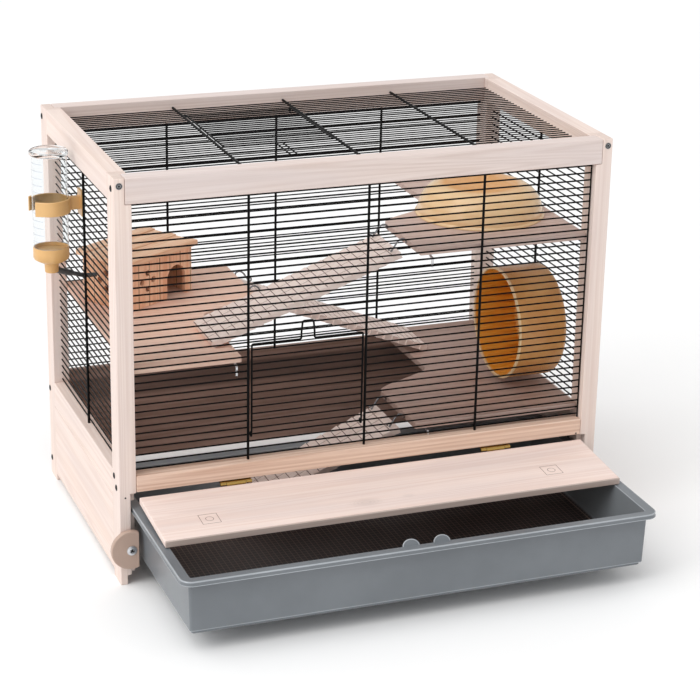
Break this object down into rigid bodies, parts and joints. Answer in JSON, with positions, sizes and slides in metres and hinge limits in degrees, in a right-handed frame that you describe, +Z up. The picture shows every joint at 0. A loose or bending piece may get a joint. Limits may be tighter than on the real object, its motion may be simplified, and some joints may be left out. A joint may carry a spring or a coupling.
{
  "type": "hamster cage",
  "caption": "Wooden framed wire cage with a pull-out tray, hinged flap, wire doors, shelves, ramps, running wheel, house, dome and water bottle.",
  "frame": {"origin": "centre of the whole part's box, on the floor it stands on", "axes": "+X to the right seen from the front, +Y to the back, +Z up"},
  "size_m": [0.6627, 0.5444, 0.485],
  "materials": {
    "frame_wood": "whitewashed pine, satin",
    "shelf_wood": "bare pine",
    "house_wood": "warm oiled pine",
    "black_wire": "gloss black",
    "tray_plastic": "satin grey",
    "orange_plastic": "translucent orange",
    "beige_plastic": "beige",
    "button_plastic": "satin beige brown",
    "clear_plastic": "clear plastic",
    "brass": "plated",
    "zinc": "zinc plated"
  },
  "bodies": {
    "cage": {"back_grille": "black_wire", "back_panel": "frame_wood", "bottle": "clear_plastic", "bottle_cap": "beige_plastic", "bottle_clip": "beige_plastic", "bottle_spout": "zinc", "button_screw_left": "zinc", "button_screw_right": "zinc", "front_grille": "black_wire", "hinge_left_pin": "brass", "hinge_left_rail_leaf": "brass", "hinge_right_pin": "brass", "hinge_right_rail_leaf": "brass", "left_grille": "black_wire", "lower_rail_front": "frame_wood", "lower_rail_left": "frame_wood", "lower_rail_right": "frame_wood", "post_back_left": "frame_wood", "post_back_right": "frame_wood", "post_front_left": "frame_wood", "post_front_right": "frame_wood", "right_grille": "black_wire", "roof_grille": "black_wire", "shelf_left": "shelf_wood", "shelf_lower": "shelf_wood", "shelf_upper": "shelf_wood", "side_panel_left": "frame_wood", "side_panel_right": "frame_wood", "top_rail_back": "frame_wood", "top_rail_front": "frame_wood", "top_rail_left": "frame_wood", "top_rail_right": "frame_wood", "tray_runner_left": "frame_wood", "tray_runner_right": "frame_wood", "wheel_bracket": "beige_plastic"},
    "tray": {"tray": "tray_plastic"},
    "front_door": {"front_door": "black_wire"},
    "roof_door": {"roof_door": "black_wire"},
    "wheel": {"wheel": "orange_plastic"},
    "dome": {"dome": "orange_plastic"},
    "house": {"house_back": "house_wood", "house_front": "house_wood", "house_left": "house_wood", "house_right": "house_wood", "house_roof": "house_wood"},
    "flap": {"flap": "frame_wood", "hinge_left_flap_leaf": "brass", "hinge_right_flap_leaf": "brass"},
    "turn_button_left": {"turn_button_left": "button_plastic"},
    "turn_button_right": {"turn_button_right": "button_plastic"},
    "ramp_upper": {"ramp_upper": "shelf_wood", "ramp_upper_hook_1": "zinc", "ramp_upper_hook_2": "zinc"},
    "ramp_middle": {"ramp_middle": "shelf_wood", "ramp_middle_hook_1": "zinc", "ramp_middle_hook_2": "zinc"},
    "ramp_lower": {"ramp_lower": "shelf_wood", "ramp_lower_hook_1": "zinc", "ramp_lower_hook_2": "zinc"}
  },
  "joints": [
    {"name": "tray_slide", "type": "slide", "parent": "cage", "child": "tray", "axis": [0, 1, 0], "range_m": [0, 0.208]},
    {"name": "flap_hinge", "type": "hinge", "parent": "cage", "child": "flap", "pos_m": [0.01915, -0.07535, 0.1116], "axis": [-1, 0, 0], "range_deg": [0, 92]},
    {"name": "front_door_hinge", "type": "hinge", "parent": "cage", "child": "front_door", "pos_m": [-0.0531, -0.06175, 0.164], "axis": [-1, 0, 0], "range_deg": [-110, 0]},
    {"name": "roof_door_hinge", "type": "hinge", "parent": "cage", "child": "roof_door", "pos_m": [-0.04835, 0.21285, 0.472], "axis": [-1, 0, 0], "range_deg": [0, 110]},
    {"name": "wheel_spin", "type": "hinge", "parent": "cage", "child": "wheel", "pos_m": [0.29815, 0.04025, 0.228], "axis": [1, 0, 0], "continuous": true},
    {"name": "ramp_upper_lift", "type": "hinge", "parent": "cage", "child": "ramp_upper", "pos_m": [0.09885, 0.01225, 0.3683], "axis": [0, 1, 0], "range_deg": [0, 20]},
    {"name": "ramp_middle_lift", "type": "hinge", "parent": "cage", "child": "ramp_middle", "pos_m": [-0.06055, 0.20125, 0.2613], "axis": [0, -1, 0], "range_deg": [0, 20]},
    {"name": "ramp_lower_lift", "type": "hinge", "parent": "cage", "child": "ramp_lower", "pos_m": [0.09885, 0.00225, 0.1513], "axis": [0, 1, 0], "range_deg": [0, 20]},
    {"name": "house_lift", "type": "slide", "parent": "cage", "child": "house", "axis": [0, 0, 1], "range_m": [0, 0.04]},
    {"name": "dome_lift", "type": "slide", "parent": "cage", "child": "dome", "axis": [0, 0, 1], "range_m": [0, 0.03]},
    {"name": "turn_button_left_turn", "type": "hinge", "parent": "cage", "child": "turn_button_left", "pos_m": [-0.26925, -0.07655, 0.046], "axis": [0, 1, 0], "range_deg": [-10, 10]},
    {"name": "turn_button_right_turn", "type": "hinge", "parent": "cage", "child": "turn_button_right", "pos_m": [0.30755, -0.07655, 0.046], "axis": [0, 1, 0], "range_deg": [-10, 10]}
  ]
}
